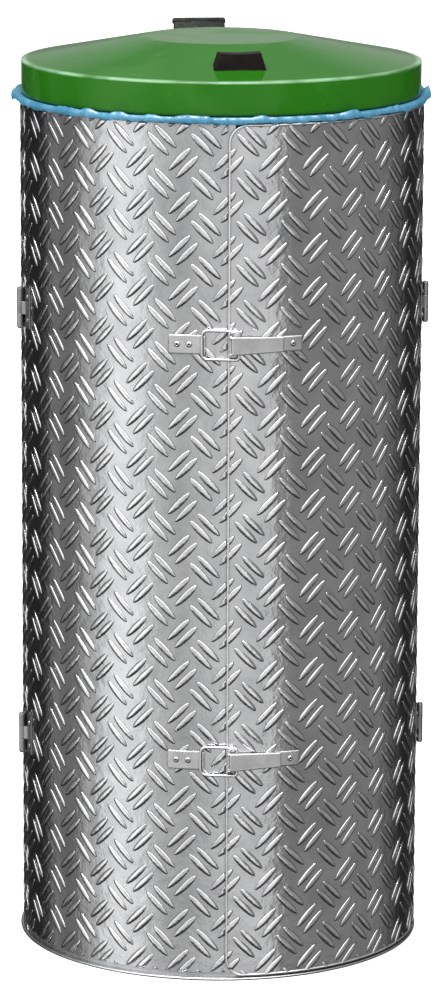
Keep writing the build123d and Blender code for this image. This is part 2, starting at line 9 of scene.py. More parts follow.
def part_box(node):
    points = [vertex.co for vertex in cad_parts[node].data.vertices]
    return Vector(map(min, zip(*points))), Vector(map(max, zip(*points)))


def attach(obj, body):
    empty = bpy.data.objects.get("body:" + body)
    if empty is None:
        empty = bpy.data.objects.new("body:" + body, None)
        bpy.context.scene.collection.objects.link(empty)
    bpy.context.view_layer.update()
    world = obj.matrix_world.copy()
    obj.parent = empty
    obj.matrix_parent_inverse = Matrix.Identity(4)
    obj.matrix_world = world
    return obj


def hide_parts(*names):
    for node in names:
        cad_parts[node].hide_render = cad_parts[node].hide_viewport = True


# A round collector of tread plate with a green lid. Metres, +Z up, the front faces -Y.
# An azimuth is in degrees from the front and grows to the right, towards +X.

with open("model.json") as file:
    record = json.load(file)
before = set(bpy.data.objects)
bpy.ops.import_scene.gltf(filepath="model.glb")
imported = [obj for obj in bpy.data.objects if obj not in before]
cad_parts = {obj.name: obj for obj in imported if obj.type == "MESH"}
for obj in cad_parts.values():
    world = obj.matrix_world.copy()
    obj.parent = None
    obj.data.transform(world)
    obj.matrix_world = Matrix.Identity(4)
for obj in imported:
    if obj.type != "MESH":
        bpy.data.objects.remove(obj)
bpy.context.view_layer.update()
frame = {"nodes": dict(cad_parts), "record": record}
nodes = frame["nodes"]
print("frame loaded:", len(nodes), "nodes")


def onWall(azimuth, radius, height):
    turn = radians(azimuth)
    return Vector((radius * sin(turn), -radius * cos(turn), height))


# node helpers

def addNode(tree, kind, links=None, **values):
    made = tree.nodes.new(kind)
    for name, value in values.items():
        setattr(made, name, value)
    for name, value in (links or {}).items():
        socket = made.inputs[name]
        if hasattr(value, "links"):
            tree.links.new(value, socket)
        else:
            socket.default_value = value
    return made


def blend(tree, factor, first, second):
    made = addNode(tree, "ShaderNodeMix", {0: factor, 6: first, 7: second}, data_type="RGBA")
    return made.outputs[2]


def between(tree, value, low, high, toLow=0.0, toHigh=1.0):
    made = addNode(tree, "ShaderNodeMapRange", {"Value": value, "From Min": low, "From Max": high,
                                                "To Min": toLow, "To Max": toHigh})
    return made.outputs["Result"]


def sums(tree, operation, first, second=0.0):
    made = addNode(tree, "ShaderNodeMath", {0: first, 1: second}, operation=operation)
    return made.outputs[0]


def noiseOf(tree, place, scale, detail, **more):
    made = addNode(tree, "ShaderNodeTexNoise", {"Vector": place, "Scale": scale, "Detail": detail, **more})
    return made.outputs["Fac"]


def grainOf(tree, place, scale, detail=3.0, roughness=0.55, stretch=(1, 1, 1)):
    laid = addNode(tree, "ShaderNodeMapping", {"Vector": place, "Scale": stretch})
    return noiseOf(tree, laid.outputs[0], scale, detail, Roughness=roughness)


def newGroup(name, inputs, outputs):
    group = bpy.data.node_groups.new(name, "ShaderNodeTree")
    for label, value in inputs.items():
        kind = "NodeSocketVector" if hasattr(value, "__len__") else "NodeSocketFloat"
        group.interface.new_socket(name=label, in_out="INPUT", socket_type=kind).default_value = value
    for label, kind in outputs.items():
        group.interface.new_socket(name=label, in_out="OUTPUT", socket_type=kind)
    return group, group.nodes.new("NodeGroupInput").outputs, group.nodes.new("NodeGroupOutput").inputs


def useGroup(tree, group, **values):
    return addNode(tree, "ShaderNodeGroup", values, node_tree=group).outputs


# mesh helpers

def linked(name, data):
    made = bpy.data.objects.new(name, data)
    bpy.context.scene.collection.objects.link(made)
    return made


def meshOf(name, points, faces, finish):
    mesh = bpy.data.meshes.new(name)
    mesh.from_pydata(points, [], faces)
    work = bmesh.new()
    work.from_mesh(mesh)
    bmesh.ops.recalc_face_normals(work, faces=work.faces)
    for face in work.faces:
        face.smooth = len(face.verts) <= 4                  # an end cap of more corners stays flat
    work.to_mesh(mesh)
    work.free()
    mesh.materials.append(finishes[finish])
    return mesh


# effects that several finishes share

def makeRolledGrain():
    # fine lines from the rolls and a faint cloud, for every metal sheet
    tree, given, out = newGroup(
        "rolledGrain", {"place": (0.0, 0.0, 0.0), "fineness": 900.0, "cloudSize": 14.0, "speckSize": 420.0},
        {"lines": "NodeSocketFloat", "cloud": "NodeSocketFloat", "specks": "NodeSocketFloat"})
    drawnUp = (1.0, 1.0, 0.06)
    laid = addNode(tree, "ShaderNodeMapping", {"Vector": given["place"], "Scale": drawnUp})
    tree.links.new(noiseOf(tree, laid.outputs[0], given["fineness"], 2.0), out["lines"])
    tree.links.new(noiseOf(tree, given["place"], given["cloudSize"], 4.0), out["cloud"])
    tree.links.new(noiseOf(tree, given["place"], given["speckSize"], 2.0), out["specks"])
    return tree


def makeCornerShade():
    # painted shade from ambient occlusion: dark where two surfaces meet, for the foot of the bars, plates and seams
    tree, given, out = newGroup("cornerShade", {"reach": 0.004, "amount": 1.0}, {"mask": "NodeSocketFloat"})
    near = addNode(tree, "ShaderNodeAmbientOcclusion", {"Distance": given["reach"]}, samples=4)
    unshaded, fullyShaded = 0.85, 0.35
    shade = between(tree, near.outputs["AO"], unshaded, fullyShaded)
    tree.links.new(sums(tree, "MULTIPLY", shade, given["amount"]), out["mask"])
    return tree


def makeHandlingMarks():
    # thin scratches and wiped smears, for the plastics
    tree, given, out = newGroup("handlingMarks",
                                {"place": (0.0, 0.0, 0.0), "smearSize": 9.0, "scratchSize": 60.0},
                                {"smears": "NodeSocketFloat", "scratches": "NodeSocketFloat"})
    swirl = noiseOf(tree, given["place"], given["smearSize"], 5.0, Roughness=0.6, Distortion=0.8)
    tree.links.new(between(tree, swirl, 0.5, 0.72), out["smears"])
    drawnOut, askew = (1.0, 16.0, 16.0), (0.3, 0.2, 0.7)
    laid = addNode(tree, "ShaderNodeMapping", {"Vector": given["place"], "Scale": drawnOut,
                                               "Rotation": askew})
    streaks = noiseOf(tree, laid.outputs[0], given["scratchSize"], 2.0)
    tree.links.new(between(tree, streaks, 0.68, 0.74), out["scratches"])
    return tree


rolledGrain = makeRolledGrain()
cornerShade = makeCornerShade()
handlingMarks = makeHandlingMarks()


# finishes

def newFinish(name):
    made = bpy.data.materials.new(name)
    made.use_nodes = True
    tree = made.node_tree
    shader = tree.nodes["Principled BSDF"]
    place = addNode(tree, "ShaderNodeTexCoord").outputs["Object"]
    return made, tree, shader, place


def softEdge(tree, radius, samples):
    return addNode(tree, "ShaderNodeBevel", {"Radius": radius}, samples=samples).outputs[0]


def bumpOf(tree, height, strength, distance, base=None):
    made = addNode(tree, "ShaderNodeBump", {"Height": height, "Strength": strength, "Distance": distance})
    if base is not None:
        tree.links.new(base, made.inputs["Normal"])
    return made.outputs["Normal"]


cloudRange = (0.35, 0.65)        # the part of a noise that goes from one tone to the other
lineRange = (0.3, 0.7)
plateLook = {
    "bright": (0.66, 0.665, 0.67, 1),
    "dull": (0.54, 0.545, 0.55, 1),
    # painted shade: the dark colour for the bars' feet and where surfaces meet
    "paintedShade": (0.04, 0.04, 0.042, 1),
    # painted highlight: the lighter colour of the bars' crowns
    "crownHighlight": (0.88, 0.885, 0.89, 1),
    "crownHighlightFrom": (0.35, 0.9),        # share of a bar's height where the painted highlight on the crown starts and is full
    # painted shade: share of a bar's height where the dark rim at its foot starts and is full
    "footShadeFrom": (0.3, 0.0),
    "roughness": (0.15, 0.22),
    "stretch": 0.6,
    "stretchTurn": 0.25,        # a quarter turn, because the rolls ran up the sheet
    "fineness": 700.0,
    "cloudSize": 26.0,
    "shadeReach": 0.0035,
    "shadeAmount": 0.75,
    "rippleSize": 75.0,
    "speckShare": 0.06,
    "bump": 0.45,
    "bumpHeight": 0.0016,
}


def treadMetal(name, crowned):
    made, tree, shader, place = newFinish(name)
    look = plateLook
    marks = useGroup(tree, rolledGrain, place=place, fineness=look["fineness"], cloudSize=look["cloudSize"])
    paintedShadeMask = useGroup(tree, cornerShade, reach=look["shadeReach"], amount=look["shadeAmount"])["mask"]
    tone = blend(tree, between(tree, marks["cloud"], *cloudRange), look["dull"], look["bright"])
    if crowned:
        crown = addNode(tree, "ShaderNodeAttribute", attribute_name="crown").outputs["Fac"]
        # painted highlight: the bars' crowns are lighter
        tone = blend(tree, between(tree, crown, *look["crownHighlightFrom"]), tone, look["crownHighlight"])
        # painted shade: a dark rim around the foot of each bar
        tone = blend(tree, between(tree, crown, *look["footShadeFrom"]), tone, look["paintedShade"])
    # painted shade: darker where surfaces meet
    tone = blend(tree, paintedShadeMask, tone, look["paintedShade"])
    tree.links.new(tone, shader.inputs["Base Color"])
    rough = between(tree, marks["lines"], *lineRange, *look["roughness"])
    tree.links.new(rough, shader.inputs["Roughness"])
    shader.inputs["Metallic"].default_value = 1.0
    shader.inputs["Anisotropic"].default_value = look["stretch"]
    shader.inputs["Anisotropic Rotation"].default_value = look["stretchTurn"]
    around = addNode(tree, "ShaderNodeTangent", direction_type="RADIAL", axis="Z")
    tree.links.new(around.outputs[0], shader.inputs["Tangent"])
    ripples = grainOf(tree, place, look["rippleSize"])
    uneven = sums(tree, "ADD", ripples, sums(tree, "MULTIPLY", marks["specks"], look["speckShare"]))
    tree.links.new(bumpOf(tree, uneven, look["bump"], look["bumpHeight"]), shader.inputs["Normal"])
    return made


# its dark colour is painted shade where surfaces meet
smallPartLook = {"cloudSize": 60.0, "shadeReach": 0.003, "shadeAmount": 0.8, "paintedShade": (0.05, 0.05, 0.052, 1),
                 "bumpHeight": 0.0004}


def plainMetal(name, bright, dull, roughness, fineness, bump=0.2, edge=0.0009):
    made, tree, shader, place = newFinish(name)
    look = smallPartLook
    marks = useGroup(tree, rolledGrain, place=place, fineness=fineness, cloudSize=look["cloudSize"])
    paintedShadeMask = useGroup(tree, cornerShade, reach=look["shadeReach"], amount=look["shadeAmount"])["mask"]
    tone = blend(tree, between(tree, marks["cloud"], *cloudRange), dull, bright)
    # painted shade: darker where surfaces meet
    tone = blend(tree, paintedShadeMask, tone, look["paintedShade"])
    tree.links.new(tone, shader.inputs["Base Color"])
    rough = between(tree, marks["lines"], *lineRange, *roughness)
    tree.links.new(rough, shader.inputs["Roughness"])
    shader.inputs["Metallic"].default_value = 1.0
    pressed = softEdge(tree, edge, 6)
    grain = bumpOf(tree, marks["specks"], bump, look["bumpHeight"], pressed)
    tree.links.new(grain, shader.inputs["Normal"])
    return made


lidLook = {
    "green": (0.014, 0.115, 0.004, 1),
    "smeared": (0.045, 0.17, 0.027, 1),
    "smearAmount": 0.35,
    "scratched": (0.15, 0.33, 0.12, 1),
    "scratchAmount": 0.12,
    # painted highlight: a pale green line along the lid's shoulder
    "shoulderHighlight": (0.26, 0.46, 0.27, 1),
    "highlightBelow": (-0.0022, -0.0006),      # from the shoulder: where the painted highlight line starts and is full
    "highlightAbove": (0.0014, 0.0004),
    "patchSize": 16.0,
    "patchRange": (0.38, 0.56),
    "patchAmount": (0.25, 0.95),
    "shoulderRound": 0.005,
    "roughness": (0.1, 0.3),
    "specular": 0.2,
    "smearSize": 11.0,
    "scratchSize": 24.0,
    "swellSize": 22.0,
    "grainSize": 900.0,
    "grainShare": 0.02,
    "bump": 0.2,
    "bumpHeight": 0.0014,
}
lidPoints = [point.co for point in nodes["lid"].data.vertices]
skirtReach = max(hypot(point.x, point.y) for point in lidPoints) - 0.0005
shoulderHeight = max(point.z for point in lidPoints if hypot(point.x, point.y) > skirtReach)


def lidPlastic():
    made, tree, shader, place = newFinish("lidPlastic")
    look = lidLook
    marks = useGroup(tree, handlingMarks, place=place, smearSize=look["smearSize"], scratchSize=look["scratchSize"])
    smeared = sums(tree, "MULTIPLY", marks["smears"], look["smearAmount"])
    tone = blend(tree, smeared, look["green"], look["smeared"])
    scratched = sums(tree, "MULTIPLY", marks["scratches"], look["scratchAmount"])
    tone = blend(tree, scratched, tone, look["scratched"])
    height = addNode(tree, "ShaderNodeSeparateXYZ", {0: place}).outputs["Z"]
    below = between(tree, height, *(shoulderHeight + off for off in look["highlightBelow"]))
    above = between(tree, height, *(shoulderHeight + off for off in look["highlightAbove"]))
    patches = grainOf(tree, place, look["patchSize"], 2.0)
    patchy = between(tree, patches, *look["patchRange"], *look["patchAmount"])
    shoulderHighlight = sums(tree, "MULTIPLY", sums(tree, "MULTIPLY", below, above), patchy)
    tone = blend(tree, shoulderHighlight, tone, look["shoulderHighlight"])                    # painted highlight: a pale line along the shoulder, broken into patches
    tree.links.new(tone, shader.inputs["Base Color"])
    rough = between(tree, marks["smears"], 0.0, 1.0, *look["roughness"])
    tree.links.new(rough, shader.inputs["Roughness"])
    swell = grainOf(tree, place, look["swellSize"], 2.0)
    grain = grainOf(tree, place, look["grainSize"], 1.0)
    uneven = sums(tree, "ADD", swell, sums(tree, "MULTIPLY", grain, look["grainShare"]))
    moulded = softEdge(tree, look["shoulderRound"], 8)
    tree.links.new(bumpOf(tree, uneven, look["bump"], look["bumpHeight"], moulded), shader.inputs["Normal"])
    shader.inputs["Specular IOR Level"].default_value = look["specular"]
    return made


gripLook = {
    "black": (0.006, 0.004, 0.004, 1),
    "handled": (0.014, 0.008, 0.008, 1),
    "smearSize": 50.0,
    "roughness": (0.5, 0.6),
    "specular": 0.1,
    "grainSize": 1600.0,
    "bump": 0.3,
    "bumpHeight": 0.0002,
}


def gripPlastic():
    made, tree, shader, place = newFinish("gripPlastic")
    look = gripLook
    smears = useGroup(tree, handlingMarks, place=place, smearSize=look["smearSize"])["smears"]
    tree.links.new(blend(tree, smears, look["black"], look["handled"]), shader.inputs["Base Color"])
    tree.links.new(between(tree, smears, 0.0, 1.0, *look["roughness"]), shader.inputs["Roughness"])
    shader.inputs["Specular IOR Level"].default_value = look["specular"]
    grain = grainOf(tree, place, look["grainSize"], 2.0)
    tree.links.new(bumpOf(tree, grain, look["bump"], look["bumpHeight"]), shader.inputs["Normal"])
    return made


bandLook = {
    "black": (0.016, 0.016, 0.016, 1),
    "dusty": (0.05, 0.048, 0.046, 1),
    "smearSize": 40.0,
    "roughness": 0.7,
    "grainSize": 500.0,
    "bump": 0.4,
    "bumpHeight": 0.0004,
}


def bandRubber():
    made, tree, shader, place = newFinish("bandRubber")
    look = bandLook
    smears = useGroup(tree, handlingMarks, place=place, smearSize=look["smearSize"])["smears"]
    tree.links.new(blend(tree, smears, look["black"], look["dusty"]), shader.inputs["Base Color"])
    shader.inputs["Roughness"].default_value = look["roughness"]
    grain = grainOf(tree, place, look["grainSize"])
    tree.links.new(bumpOf(tree, grain, look["bump"], look["bumpHeight"]), shader.inputs["Normal"])
    return made


filmLook = {
    "deep": (0.035, 0.19, 0.33, 1),
    "pale": (0.08, 0.27, 0.42, 1),
    "foldSize": 26.0,
    "foldStretch": (1, 1, 0.09),        # drawn out up the sack
    "foldRange": (0.3, 0.7),
    "roughness": 0.42,
    "milky": 0.25,
    "milkyRadius": (0.4, 0.8, 1.0),
    "milkyDepth": 0.004,
    "creaseSize": 60.0,
    "creaseStretch": (1, 1, 0.35),
    "bump": 0.6,
    "bumpHeight": 0.0025,
}


def sackFilm():
    made, tree, shader, place = newFinish("sackFilm")
    look = filmLook
    folds = grainOf(tree, place, look["foldSize"], 3.0, 0.5, look["foldStretch"])
    tone = blend(tree, between(tree, folds, *look["foldRange"]), look["deep"], look["pale"])
    tree.links.new(tone, shader.inputs["Base Color"])
    shader.inputs["Roughness"].default_value = look["roughness"]
    shader.inputs["Subsurface Weight"].default_value = look["milky"]
    shader.inputs["Subsurface Radius"].default_value = look["milkyRadius"]
    shader.inputs["Subsurface Scale"].default_value = look["milkyDepth"]
    creases = grainOf(tree, place, look["creaseSize"], 4.0, 0.6, look["creaseStretch"])
    tree.links.new(bumpOf(tree, creases, look["bump"], look["bumpHeight"]), shader.inputs["Normal"])
    return made


metals = {
    "pressedSheet": {"bright": (0.62, 0.625, 0.63, 1), "dull": (0.5, 0.505, 0.51, 1),
                     "roughness": (0.24, 0.36), "fineness": 500.0},
    "hingeSteel": {"bright": (0.42, 0.42, 0.425, 1), "dull": (0.3, 0.3, 0.305, 1),
                   "roughness": (0.3, 0.45), "fineness": 600.0},
    "latchSteel": {"bright": (0.8, 0.8, 0.805, 1), "dull": (0.66, 0.66, 0.665, 1),
                   "roughness": (0.27, 0.39), "fineness": 800.0, "edge": 0.0022},
    "darkRoughHinge": {"bright": (0.024, 0.026, 0.024, 1), "dull": (0.014, 0.016, 0.014, 1),
                     "roughness": (0.7, 0.9), "fineness": 300.0, "bump": 0.5},
    # painted highlight: the hem is much lighter than the sheet, for a bright line along the seam
    "rolledEdgeHighlight": {"bright": (0.92, 0.92, 0.92, 1), "dull": (0.84, 0.84, 0.84, 1),
                   "roughness": (0.36, 0.46), "fineness": 700.0},
    "rivetMetal": {"bright": (0.62, 0.62, 0.62, 1), "dull": (0.45, 0.45, 0.45, 1),
                   "roughness": (0.28, 0.4), "fineness": 900.0},
}
finishes = {"treadPlate": treadMetal("treadPlate", False), "treadBars": treadMetal("treadBars", True)}
for name, values in metals.items():
    finishes[name] = plainMetal(name, **values)
for make in (lidPlastic, gripPlastic, bandRubber, sackFilm):
    finishes[make.__name__] = make()
finishOfSlot = {
    "tread_plate": "treadPlate", "galvanised": "pressedSheet", "hinge_steel": "hingeSteel",
    "latch_steel": "latchSteel", "rivet": "rivetMetal", "lid_plastic": "lidPlastic",
    "grip_plastic": "gripPlastic", "rubber_band": "bandRubber", "sack_film": "sackFilm",
}
finishOfNode = {        # the lid's hinge is near black and rough, and its inner plate is dull
    "lid_hinge_leaf": "darkRoughHinge", "lid_hinge_pin": "darkRoughHinge", "lid_hinge_bracket": "darkRoughHinge",
    "lid_backing_plate": "hingeSteel",
}
for part in frame["record"]["subparts"]:
    look = finishOfNode.get(part["node"], finishOfSlot[part["material_slot"]])
    for slot in nodes[part["node"]].material_slots:
        slot.material = finishes[look]
print("finishes set")


# raised bars of the tread plate

tread = {
    "pitchAround": 12.47,       # degrees between two columns that lean the same way
    "pitchUp": 0.0464,
    "barLength": 0.0345,
    "barWidth": 0.0077,
    "barHeight": 0.00115,
    "pairSpacing": 0.0115,
    "lean": 45.0,
    "risingColumn": -4.4,       # azimuth of a column that leans like a slash
    "fallingColumn": -10.6,
    "risingRow": 0.899,         # height of that column's upper pair
    "fallingRow": 0.923,
    "spareColumns": 2,          # past the sheet's edges, and cut away with what sticks out
    "spareRows": 2,
}


def makeBarTree():
    tree = bpy.data.node_groups.new("treadBars", "GeometryNodeTree")
    face = tree.interface
    face.new_socket(name="Geometry", in_out="INPUT", socket_type="NodeSocketGeometry")
    for label in ("radius", "pitchAround", "pitchUp", "barLength", "barWidth", "barHeight", "pairSpacing",
                  "lean", "firstAzimuth", "firstHeight"):
        face.new_socket(name=label, in_out="INPUT", socket_type="NodeSocketFloat")
    for label in ("columns", "rows"):
        face.new_socket(name=label, in_out="INPUT", socket_type="NodeSocketInt")
    face.new_socket(name="finish", in_out="INPUT", socket_type="NodeSocketMaterial")
    face.new_socket(name="Geometry", in_out="OUTPUT", socket_type="NodeSocketGeometry")
    given = tree.nodes.new("NodeGroupInput").outputs

    def calc(operation, first, second=0.0):
        return sums(tree, operation, first, second)

    def product(first, *factors):
        for factor in factors:
            first = calc("MULTIPLY", first, factor)
        return first

    def vector(**parts):
        return addNode(tree, "ShaderNodeCombineXYZ", parts).outputs[0]

    def places():
        position = addNode(tree, "GeometryNodeInputPosition").outputs[0]
        return addNode(tree, "ShaderNodeSeparateXYZ", {0: position}).outputs

    def step(kind, geometry, **links):
        return addNode(tree, "GeometryNode" + kind, {"Geometry": geometry, **links}).outputs[0]

    def joined(*pieces):
        made = addNode(tree, "GeometryNodeJoinGeometry")
        for piece in pieces:
            tree.links.new(piece, made.inputs[0])
        return made.outputs[0]

    # one bar: a ball drawn out to a low lens, with its lower half pressed flat
    ball = addNode(tree, "GeometryNodeMeshUVSphere", {"Segments": 8, "Rings": 7, "Radius": 1.0})
    at = places()
    # crown: share of a bar's height, which the bars' finish uses for a painted highlight and painted shade
    marked = addNode(tree, "GeometryNodeStoreNamedAttribute",
                     {"Geometry": ball.outputs["Mesh"], "Name": "crown", "Value": calc("MAXIMUM", at["Y"], 0.0)},
                     data_type="FLOAT", domain="POINT").outputs[0]
    flattened = calc("MAXIMUM", at["Y"], -0.25)
    lens = vector(X=product(at["Z"], given["barLength"], 0.5), Y=product(at["X"], given["barWidth"], 0.5),
                  Z=product(flattened, given["barHeight"]))
    bar = step("SetPosition", marked, Position=lens)
    gap = product(given["pairSpacing"], 0.5)
    pair = joined(step("Transform", bar, Translation=vector(Y=gap)),
                  step("Transform", bar, Translation=vector(Y=product(gap, -1.0))))

    # the flat field: x along the arc, y up the plate, z out of it
    arc = product(given["pitchAround"], pi / 180, given["radius"])
    spanX = product(arc, calc("SUBTRACT", given["columns"], 1.0))
    spanY = product(given["pitchUp"], calc("SUBTRACT", given["rows"], 1.0))
    field = addNode(tree, "GeometryNodeMeshGrid", {
        "Size X": spanX, "Size Y": spanY, "Vertices X": given["columns"], "Vertices Y": given["rows"]})
    firstX = product(given["firstAzimuth"], pi / 180, given["radius"])
    middle = vector(X=calc("ADD", firstX, product(spanX, 0.5)),
                    Y=calc("SUBTRACT", given["firstHeight"], product(spanY, 0.5)))
    placed = step("Transform", field.outputs[0], Translation=middle)
    turned = vector(Z=product(given["lean"], pi / 180))
    spread = addNode(tree, "GeometryNodeInstanceOnPoints",
                     {"Points": placed, "Instance": pair, "Rotation": turned})
    real = step("RealizeInstances", spread.outputs[0])

    # rolled on to the plate
    at = places()
    bend = calc("DIVIDE", at["X"], given["radius"])
    outward = calc("ADD", given["radius"], at["Z"])
    rolledAt = vector(X=product(outward, calc("SINE", bend)), Y=product(outward, calc("COSINE", bend), -1.0),
                      Z=at["Y"])
    rolled = step("SetPosition", real, Position=rolledAt)
    smooth = step("SetShadeSmooth", rolled, **{"Shade Smooth": True})
    finished = step("SetMaterial", smooth, Material=given["finish"])
    result = tree.nodes.new("NodeGroupOutput")
    tree.links.new(joined(finished, given["Geometry"]), result.inputs["Geometry"])
    return tree


def cutAway(mesh, edge, away, near=None):
    # removes what lies past a plane, and closes the cut
    work = [f for f in mesh.faces if near is None or near(f.calc_center_median())]
    geometry = list({v for f in work for v in f.verts}) + list({e for f in work for e in f.edges}) + work
    cut = bmesh.ops.bisect_plane(mesh, geom=geometry, plane_co=edge, plane_no=away, clear_outer=True)
    rims = [e for e in cut["geom_cut"] if isinstance(e, bmesh.types.BMEdge) and len(e.link_faces) == 1]
    bmesh.ops.holes_fill(mesh, edges=rims, sides=0)


frontShare = 0.9            # of the radius: a side cut works on the bars this far out along its own azimuth
cornerReach = 0.06          # a corner cut works on the bars this near


def makeBars(name, radius, start, end, bottom, top, corners=()):
    turn = end - start
    target = linked(name, bpy.data.meshes.new(name))
    families = (("risingColumn", "risingRow", 1), ("fallingColumn", "fallingRow", -1))
    for column, row, lean in families:
        step = tread["pitchAround"]
        first = tread[column] + step * round((start - tread[column]) / step - 0.5)
        high = tread[row] + tread["pitchUp"] * round((top - tread[row]) / tread["pitchUp"] + 0.5)
        values = dict(tread, radius=radius, firstAzimuth=first, firstHeight=high, lean=lean * tread["lean"],
                      columns=int(turn / step) + tread["spareColumns"],
                      rows=int((high - bottom) / tread["pitchUp"]) + tread["spareRows"],
                      finish=finishes["treadBars"])
        modifier = target.modifiers.new(column, "NODES")
        modifier.node_group = barTree
        for item in barTree.interface.items_tree:
            if item.in_out == "INPUT" and item.name in values:
                modifier[item.identifier] = values[item.name]
    graph = bpy.context.evaluated_depsgraph_get()
    mesh = bpy.data.meshes.new_from_object(target.evaluated_get(graph))
    target.modifiers.clear()
    work = bmesh.new()
    work.from_mesh(mesh)
    cutAway(work, (0, 0, top), (0, 0, 1))
    cutAway(work, (0, 0, bottom), (0, 0, -1))
    for azimuth, side in ((start, -1), (end, 1)):
        side = Vector((side * cos(radians(azimuth)), side * sin(radians(azimuth)), 0))
        facing = onWall(azimuth, 1, 0)
        cutAway(work, (0, 0, 0), side, lambda c: c.x * facing.x + c.y * facing.y > frontShare * radius)
    for spot, away in corners:
        cutAway(work, spot, away, lambda c: (c - Vector(spot)).length < cornerReach)
    bmesh.ops.recalc_face_normals(work, faces=work.faces)
    work.to_mesh(mesh)
    work.free()
    target.data = mesh
    if not mesh.materials:
        mesh.materials.append(finishes["treadBars"])
    print(name, "faces", len(mesh.polygons))
    return target


barTree = makeBarTree()
edgeIn = 0.0003                                     # bars stop this far inside a sheet's edge
shellLow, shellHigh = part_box("back_shell")
leftLow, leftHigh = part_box("left_door")
rightLow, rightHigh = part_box("right_door")
plate = {
    "shellRadius": 0.2200,
    "leftRadius": 0.2204,
    "rightRadius": 0.2223,
    "hingeSide": 81.69,         # azimuth of the leaves' hinged edges
    "shellSide": 82.31,         # azimuth of the shell's edges
    "seam": -4.382,             # azimuth of the right leaf's free edge
    "cornerRadius": 0.02,
    "sideMargin": 0.1,          # degrees without bars inside each edge
}
margin = plate["sideMargin"]


def seamCorners():
    # three planes along each rounded corner of the right leaf's free edge
    made = []
    turn = radians(plate["seam"])
    across = Vector((cos(turn), sin(turn), 0))
    r = plate["cornerRadius"]
    for height, upward in ((rightHigh.z, 1), (rightLow.z, -1)):
        corner = onWall(plate["seam"], plate["rightRadius"], height)
        centre = corner + across * r - Vector((0, 0, upward * r))
        for angle in (22.5, 45, 67.5):
            away = -across * cos(radians(angle)) + Vector((0, 0, upward * sin(radians(angle))))
            made.append((centre + away * (r - edgeIn), away))
    return made


shellBars = makeBars("shellBars", plate["shellRadius"],
                     plate["shellSide"] + margin, 360 - plate["shellSide"] - margin,
                     shellLow.z + edgeIn, shellHigh.z - edgeIn)
leftBars = makeBars("leftBars", plate["leftRadius"], -plate["hingeSide"] + margin, plate["seam"] - margin,
                    leftLow.z + edgeIn, leftHigh.z - edgeIn)
rightBars = makeBars("rightBars", plate["rightRadius"], plate["seam"] + margin, plate["hingeSide"] - margin,
                     rightLow.z + edgeIn, rightHigh.z - edgeIn, seamCorners())


hem = {
    "width": 0.0027,
    "height": 0.001,
    "steps": 9,                 # points across the rolled edge
    "stations": 40,             # along the top, and along the bottom
    "cornerSteps": 8,
    "sunk": 0.0001,             # its two sides go this far into the sheet
}


def makeHem():
    # the rolled edge of the right leaf: down its free edge and along its top and bottom
    radius = plate["rightRadius"]
    r = plate["cornerRadius"]
    low, high = rightLow.z, rightHigh.z
    wide = radians(plate["hingeSide"] - plate["seam"]) * radius
    stations = [wide * k / hem["stations"] for k in range(1, hem["stations"] + 1)]
    stations = [place for place in stations if place > r]
    turns = [radians(90 * k / hem["cornerSteps"]) for k in range(hem["cornerSteps"] + 1)]
    route = [(place, high, 0, -1) for place in reversed(stations)]
    route += [(r - r * sin(turn), high - r + r * cos(turn), sin(turn), -cos(turn)) for turn in turns]
    route += [(r - r * cos(turn), low + r - r * sin(turn), cos(turn), sin(turn)) for turn in turns]
    route += [(place, low, 0, 1) for place in stations]
    points = []
    for across, up, inX, inY in route:
        for k in range(hem["steps"]):
            share = k / (hem["steps"] - 1)
            inward = hem["width"] * share
            out = hem["height"] * sqrt(max(0.0, sin(pi * share))) - (hem["sunk"] if share in (0, 1) else 0)
            azimuth = plate["seam"] + degrees((across + inX * inward) / radius)
            points.append(onWall(azimuth, radius + out, up + inY * inward))
    n = hem["steps"]
    faces = [(a + k, a + (k + 1) % n, a + n + (k + 1) % n, a + n + k)
             for a in range(0, len(points) - n, n) for k in range(n)]
    faces += [tuple(range(n)), tuple(range(len(points) - n, len(points)))]
    made = linked("leafHem", meshOf("leafHem", points, faces, "rolledEdgeHighlight"))
    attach(made, "right_door")


makeHem()
for bars, body in ((shellBars, "body"), (leftBars, "left_door"), (rightBars, "right_door")):
    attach(bars, body)
print("tread bars made")


# sack: hangs in the shell, goes over the bead and folds out under the lid

film = {
    "wallRadius": 0.2113,
    "wallTop": 0.928,
    "bottom": 0.0622,
    "bottomRise": 0.004,
    "bend": 0.04,               # radius of the bend from the bottom to the wall
    "bendHeight": 0.045,
    "crest": 0.9476,
    "bulge": 0.2268,
    "leastBulge": 0.2236,
    "under": 0.9418,
    "clampRadius": 0.2135,
    "clampHeight": 0.9359,
    "ear": (-97, 4.5),          # azimuth and half width of a corner that stands out of the cuff
    "loop": (84, 5.0),
    "around": 540,
    "wallSteps": 21,
    "thickness": 0.0003,
    "flat": (1.4, 1.1),         # slit open and laid flat
}


def noiseAt(x, y, z, seed):
    return noise.noise(Vector((x + seed * 17.3, y - seed * 5.1, z + seed)))


def bumpAt(azimuth, centre, width):
    off = (azimuth - centre + 180) % 360 - 180
    return max(0.0, 1 - (off / width) ** 2) ** 2


